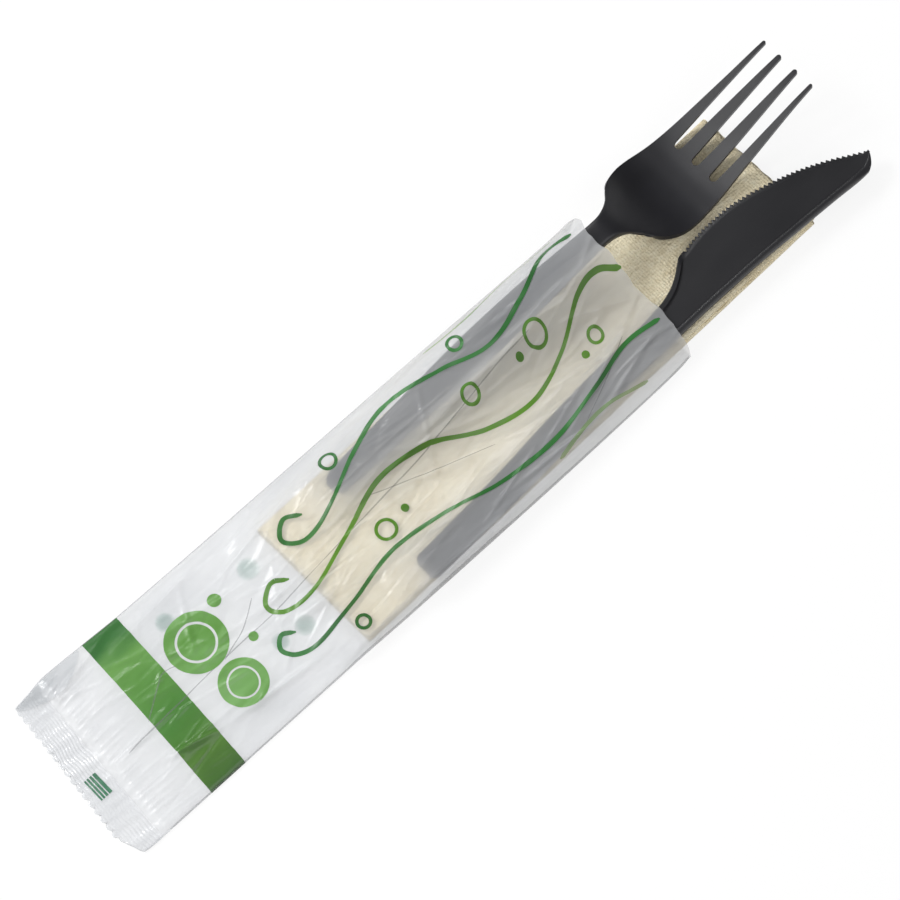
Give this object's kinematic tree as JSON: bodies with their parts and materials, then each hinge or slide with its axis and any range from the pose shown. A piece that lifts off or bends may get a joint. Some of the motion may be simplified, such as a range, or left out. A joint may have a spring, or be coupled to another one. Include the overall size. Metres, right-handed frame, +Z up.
{
  "type": "cutlery kit",
  "caption": "Disposable fork and serrated knife lying on a folded paper napkin, slipped together into a milky film sleeve with a crimped end and an open mouth.",
  "frame": {"origin": "middle of the kit's footprint, at the height of the sleeve's flat underside", "axes": "+X along the pack from the crimped end to the tips of the fork and knife, +Y across the pack from the knife to the fork, +Z up from the surface it lies on"},
  "size_m": [0.269, 0.0522, 0.0212],
  "materials": {
    "film": "milky translucent film, softly glossy",
    "paper": "unbleached embossed tissue, matte",
    "black_plastic": "moulded satin black"
  },
  "bodies": {
    "root": {"film_sleeve": "film", "napkin": "paper", "fork": "black_plastic", "knife": "black_plastic"}
  },
  "joints": []
}
